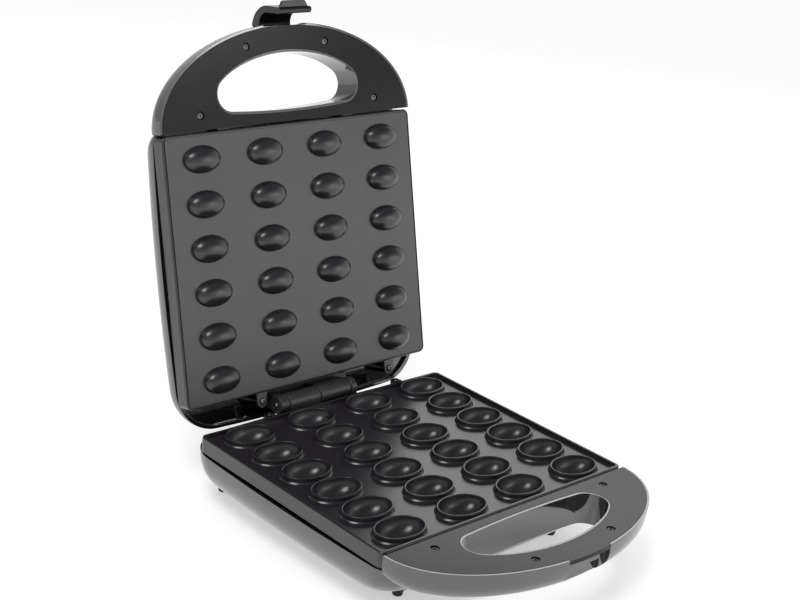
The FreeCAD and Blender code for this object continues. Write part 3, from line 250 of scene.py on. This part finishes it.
def enamel(name, colour, rough=0.38):
    """Painted casting with a slight orange peel and paint rubbed thin on its edges."""
    m = Nodes(name, 0.4 * MM)
    peel = m.noise(420.0, 2.0)
    cloud = m.noise(30.0, 3.0)
    rubbed = m.both(m.edges(), m.span(m.noise(210.0), 0.5, 0.65), "MULTIPLY")
    dark, light = shade_pair(colour, 0.15)
    shade = m.mix(m.span(cloud, 0.3, 0.7), dark, light)
    m.colour(m.mix(m.both(rubbed, 0.5, "MULTIPLY"), shade, (0.10, 0.10, 0.095)))
    m.rough(m.span(cloud, 0.3, 0.7, rough * 0.9, rough * 1.15))
    m.set(IOR=1.5)
    m.bump(peel, 0.00003, 0.4)
    return m.material


def rubber(name, colour):
    """Moulded rubber: matt, powdery, with a fine pebble and patches of dust."""
    m = Nodes(name)
    pebble = m.noise(1500.0, 3.0, 0.6)
    dust = m.noise(50.0, 4.0)
    m.colour(m.mix(m.span(dust, 0.45, 0.7), colour, tuple(c * 1.8 for c in colour)))
    m.rough(m.span(dust, 0.3, 0.7, 0.62, 0.8))
    m.set(IOR=1.4)
    m.bump(pebble, 0.00006, 0.6)
    return m.material


def sleeve(name):
    """Woven glass sleeving."""
    m = Nodes(name)
    wave = m.add("ShaderNodeTexWave", bands_direction="DIAGONAL")
    wave.inputs["Scale"].default_value = 700.0
    wave.inputs["Distortion"].default_value = 1.0
    m.join(m.place, wave.inputs["Vector"])
    m.colour(m.mix(wave.outputs["Fac"], (0.62, 0.60, 0.52), (0.42, 0.40, 0.34)))
    m.rough(m.span(m.noise(90.0), 0.3, 0.7, 0.7, 0.85))
    m.bump(wave.outputs["Fac"], 0.0001, 0.6)
    return m.material


def lens(name, colour):
    """Clear coloured plastic lens, slightly cloudy."""
    m = Nodes(name)
    cloud = m.noise(200.0, 2.0)
    m.colour(m.mix(cloud, colour, tuple(c * 0.6 for c in colour)))
    m.rough(m.span(cloud, 0.3, 0.7, 0.05, 0.12))
    m.set(Transmission_Weight=0.5, IOR=1.49)
    m.bump(m.noise(1200.0, 1.0), 0.00003, 0.4)
    return m.material


MATERIALS = {
    "shell_black": gloss_black("shell_black"),
    "cover_dark": satin_black("cover_dark"),
    "plate_cast": cast_plate("plate_cast"),
    "steel_screws": metal("steel_screws", (0.14, 0.14, 0.14), 0.26, grain=1500.0),
    "pin_steel": metal("pin_steel", (0.42, 0.42, 0.42), 0.3, (0.05, 1.0, 1.0), 1800.0),
    "bracket_metal": enamel("bracket_metal", (0.028, 0.027, 0.026)),
    "steel_plate": metal("steel_plate", (0.5, 0.5, 0.5), 0.32, (0.05, 1.0, 1.0), 1500.0),
    "reflector": metal("reflector", (0.7, 0.7, 0.7), 0.2, (1.0, 0.05, 1.0), 900.0),
    "heater_tube": metal("heater_tube", (0.26, 0.25, 0.23), 0.5, grain=500.0),
    "bakelite": satin_black("bakelite", (0.035, 0.026, 0.02), 0.42, 1.5),
    "lead_sleeve": sleeve("lead_sleeve"),
    "rubber_black": rubber("rubber_black", (0.012, 0.012, 0.012)),
    "rubber_grey": rubber("rubber_grey", (0.022, 0.024, 0.02)),
    "latch_plastic": gloss_black("latch_plastic", (0.006, 0.006, 0.0065), (0.03, 0.03, 0.03), 0.16, 1.45),
    "lens": lens("lens", (0.55, 0.03, 0.02)),
    "lamp_glass": lens("lamp_glass", (0.8, 0.6, 0.5)),
}


def dress_nodes():
    """Give every carried-over solid the material of its slot."""
    slots = {s["node"]: s["material_slot"] for s in frame["record"]["subparts"]}
    for name, obj in nodes.items():
        obj.data.materials.clear()
        obj.data.materials.append(MATERIALS[slots[name]])
    return slots


def islands(obj):
    """Corner places of each separate solid of a node."""
    mesh = bmesh.new()
    mesh.from_mesh(obj.data)
    bmesh.ops.remove_doubles(mesh, verts=mesh.verts, dist=0.001 * MM)
    left = set(mesh.verts)
    groups = []
    while left:
        stack = [left.pop()]
        group = []
        while stack:
            vert = stack.pop()
            group.append(vert.co.copy())
            for edge in vert.link_edges:
                other = edge.other_vert(vert)
                if other in left:
                    left.remove(other)
                    stack.append(other)
        groups.append(group)
    mesh.free()
    return sorted(groups, key=lambda group: (round(group[0].x, 3), round(group[0].y, 3)))


def smooth_step(value):
    """Smooth rise from 0 to 1."""
    t = max(0.0, min(1.0, value))
    return t * t * (3.0 - 2.0 * t)


def cross_mask(x, y):
    """How deep a cross recess is at a place on a head of radius 1, from 0 to 1."""
    best = 0.0
    for along, across in ((abs(x), abs(y)), (abs(y), abs(x))):
        side = smooth_step((CROSS_WIDTH - across) / 0.07 + 0.5)
        end = smooth_step((CROSS_LENGTH - along) / 0.28)
        best = max(best, side * end)
    return best


def head_profile(r):
    """Height of a pan head at a radius, both as a share of the head's own size."""
    crown = 0.88 + 0.12 * (1.0 - (r / 0.72) ** 2) if r < 0.72 else 0.88
    if r > 0.72:
        turn = (r - 0.72) / 0.28
        crown = 0.88 * (0.45 + 0.55 * math.sqrt(max(0.0, 1.0 - turn * turn)))
    return crown


def screw_mesh(mesh, points, axis, turn):
    """Add one screw with a domed head and a cross recess where a plain screw stands."""
    side = axis.orthogonal().normalized()
    other = axis.cross(side)
    us = [p.dot(side) for p in points]
    vs = [p.dot(other) for p in points]
    ts = [p.dot(axis) for p in points]
    u = (min(us) + max(us)) / 2.0
    v = (min(vs) + max(vs)) / 2.0
    radius = (max(us) - min(us)) / 2.0
    rim = [t for a, b, t in zip(us, vs, ts) if math.hypot(a - u, b - v) > 0.97 * radius]
    seat = min(rim)
    height = max(ts) - seat
    tip = min(ts)
    shank = max(math.hypot(a - u, b - v) for a, b, t in zip(us, vs, ts) if t < tip + 0.1 * MM)

    def place(a, b, t):
        return side * (u + a) + other * (v + b) + axis * t

    rings = []
    for i in range(1, HEAD_RINGS + 1):
        r = i / HEAD_RINGS
        ring = []
        for k in range(HEAD_SEGMENTS):
            angle = 2.0 * math.pi * k / HEAD_SEGMENTS
            a = r * math.cos(angle)
            b = r * math.sin(angle)
            c = a * math.cos(turn) - b * math.sin(turn)
            d = a * math.sin(turn) + b * math.cos(turn)
            h = head_profile(r) - CROSS_DEPTH * cross_mask(c, d)
            ring.append(mesh.verts.new(place(a * radius, b * radius, seat + h * height)))
        rings.append(ring)
    for r, t in ((radius, seat), (shank, seat), (shank, tip + 0.4 * MM), (shank * 0.7, tip)):
        ring = []
        for k in range(HEAD_SEGMENTS):
            angle = 2.0 * math.pi * k / HEAD_SEGMENTS
            ring.append(mesh.verts.new(place(r * math.cos(angle), r * math.sin(angle), t)))
        rings.append(ring)
    centre = mesh.verts.new(place(0.0, 0.0, seat + (1.0 - CROSS_DEPTH) * height))
    end = mesh.verts.new(place(0.0, 0.0, tip))
    for k in range(HEAD_SEGMENTS):
        n = (k + 1) % HEAD_SEGMENTS
        mesh.faces.new((centre, rings[0][k], rings[0][n]))
        for low, high in zip(rings, rings[1:]):
            mesh.faces.new((low[k], high[k], high[n], low[n]))
        mesh.faces.new((end, rings[-1][n], rings[-1][k]))


def cross_screws(node, axis, body, slot):
    """Replace the plain screws of a node by ones with cross recesses."""
    mesh = bmesh.new()
    for i, points in enumerate(islands(nodes[node])):
        screw_mesh(mesh, points, axis, 0.5 + 0.83 * i)
    bmesh.ops.recalc_face_normals(mesh, faces=mesh.faces)
    data = bpy.data.meshes.new(node + "_cross")
    mesh.to_mesh(data)
    mesh.free()
    for face in data.polygons:
        face.use_smooth = True
    obj = bpy.data.objects.new(node + "_cross", data)
    bpy.context.scene.collection.objects.link(obj)
    data.materials.append(MATERIALS[slot])
    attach(obj, body)
    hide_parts(node)
    return obj


def make_screws(slots):
    """All screws that show from outside."""
    for node in ("base_cover_screws", "cup_plate_screws", "base_bracket_screws"):
        cross_screws(node, UP, "base", slots[node])
    for node in ("lid_cover_screws", "dome_plate_screws", "lid_bracket_screws"):
        cross_screws(node, LID_OUT, "lid", slots[node])


def light_path(m, names):
    """One where a ray is of any of the named kinds."""
    path = m.nodes.new("ShaderNodeLightPath")
    value = path.outputs[names[0]]
    for name in names[1:]:
        either = m.nodes.new("ShaderNodeMath")
        either.operation = "MAXIMUM"
        m.links.new(value, either.inputs[0])
        m.links.new(path.outputs[name], either.inputs[1])
        value = either.outputs[0]
    return value


def make_stage():
    """Pale floor that shows white to the camera and in reflections but keeps soft shadows."""
    level = cad_low[2]
    mesh = bpy.data.meshes.new("floor")
    s = FLOOR_HALF
    mesh.from_pydata([(-s, -s, level), (s, -s, level), (s, s, level), (-s, s, level)], [], [(0, 1, 2, 3)])
    floor = bpy.data.objects.new("floor", mesh)
    bpy.context.scene.collection.objects.link(floor)
    m = Nodes("floor_pale")
    tone = FLOOR_TONE
    m.colour(m.mix(m.noise(3.0), (tone - 0.01,) * 3, (tone + 0.01,) * 3))
    m.set(Roughness=0.7, Emission_Color=(1.0, 1.0, 1.0, 1.0))
    seen = light_path(m.tree, ("Is Camera Ray", "Is Glossy Ray", "Is Transmission Ray"))
    glossy = m.both(light_path(m.tree, ("Is Glossy Ray",)), FLOOR_MIRRORED, "MULTIPLY")
    m.join(m.both(m.both(seen, FLOOR_GLOW, "MULTIPLY"), glossy), m.shader.inputs["Emission Strength"])
    m.material.cycles.emission_sampling = "NONE"
    mesh.materials.append(m.material)
    return floor


def make_world():
    """White to the camera, white at the horizon in reflections but dimmer to the left, dim overhead."""
    world = bpy.data.worlds.new("world")
    bpy.context.scene.world = world
    world.use_nodes = True
    world.cycles.sampling_method = "NONE"
    tree = world.node_tree
    tree.nodes.clear()

    def background(strength):
        node = tree.nodes.new("ShaderNodeBackground")
        node.inputs[0].default_value = (1.0, 1.0, 1.0, 1.0)
        if isinstance(strength, bpy.types.NodeSocket):
            tree.links.new(strength, node.inputs[1])
        else:
            node.inputs[1].default_value = strength
        return node.outputs[0]

    def blend(factor, a, b):
        node = tree.nodes.new("ShaderNodeMixShader")
        tree.links.new(factor, node.inputs[0])
        tree.links.new(a, node.inputs[1])
        tree.links.new(b, node.inputs[2])
        return node.outputs[0]

    direction = tree.nodes.new("ShaderNodeTexCoord").outputs["Generated"]
    split = tree.nodes.new("ShaderNodeSeparateXYZ")
    tree.links.new(direction, split.inputs[0])

    def ramp(value, *numbers):
        node = tree.nodes.new("ShaderNodeMapRange")
        node.interpolation_type = "SMOOTHSTEP"
        for name, number in zip(("From Min", "From Max", "To Min", "To Max"), numbers):
            node.inputs[name].default_value = number
        tree.links.new(value, node.inputs["Value"])
        return node.outputs[0]

    turn = tree.nodes.new("ShaderNodeMath")
    turn.operation = "MULTIPLY"
    tree.links.new(ramp(split.outputs[1], -0.4, 0.3, SKY_IN_FRONT, SKY_BEHIND), turn.inputs[0])
    tree.links.new(ramp(split.outputs[0], -0.35, 0.30, SKY_ON_LEFT, 1.0), turn.inputs[1])
    low = background(turn.outputs[0])
    mirrored = blend(ramp(split.outputs[2], 0.24, 0.68, 0.0, 1.0), low, background(SKY_ZENITH))
    sky = blend(light_path(tree, ("Is Glossy Ray",)), background(SKY_DIFFUSE), mirrored)
    seen = light_path(tree, ("Is Camera Ray", "Is Transmission Ray"))
    out = tree.nodes.new("ShaderNodeOutputWorld")
    tree.links.new(blend(seen, sky, background(1.0)), out.inputs[0])


def area_light(name, direction, distance, size, radiance):
    """Rectangular soft box that faces the middle of the object."""
    data = bpy.data.lights.new(name, "AREA")
    data.shape = "RECTANGLE"
    data.size, data.size_y = size
    data.energy = radiance * math.pi * size[0] * size[1]
    obj = bpy.data.objects.new(name, data)
    bpy.context.scene.collection.objects.link(obj)
    place = Vector(direction).normalized() * distance
    obj.location = MIDDLE + place
    obj.rotation_mode = "QUATERNION"
    obj.rotation_quaternion = (-place).to_track_quat("-Z", "Y")
    return obj


def make_lights():
    area_light("key", (-0.50, -0.22, 0.84), 1.6, (0.6, 0.6), 9.0)
    area_light("front", (0.61, -0.79, 0.09), 1.8, (1.3, 0.44), 1.25)
    area_light("strip", (0.50, -0.80, 0.34), 1.8, (0.7, 0.10), 6.0)
    area_light("back", (0.74, 0.49, 0.465), 1.67, (0.85, 0.35), 2.3)


def make_camera():
    data = bpy.data.cameras.new("camera")
    data.sensor_width = 36.0
    data.lens = CAMERA_LENS
    data.clip_start = 0.05
    data.clip_end = 60.0
    camera = bpy.data.objects.new("camera", data)
    bpy.context.scene.collection.objects.link(camera)
    right = CAMERA_RIGHT.normalized()
    up = (CAMERA_UP - right * CAMERA_UP.dot(right)).normalized()
    turn = Matrix((right, up, right.cross(up))).transposed()
    camera.rotation_mode = "QUATERNION"
    camera.rotation_quaternion = turn.to_quaternion()
    camera.location = CAMERA_PLACE
    bpy.context.scene.camera = camera


make_screws(dress_nodes())
make_stage()
make_world()
make_lights()
make_camera()
bpy.context.scene.view_settings.view_transform = "Standard"
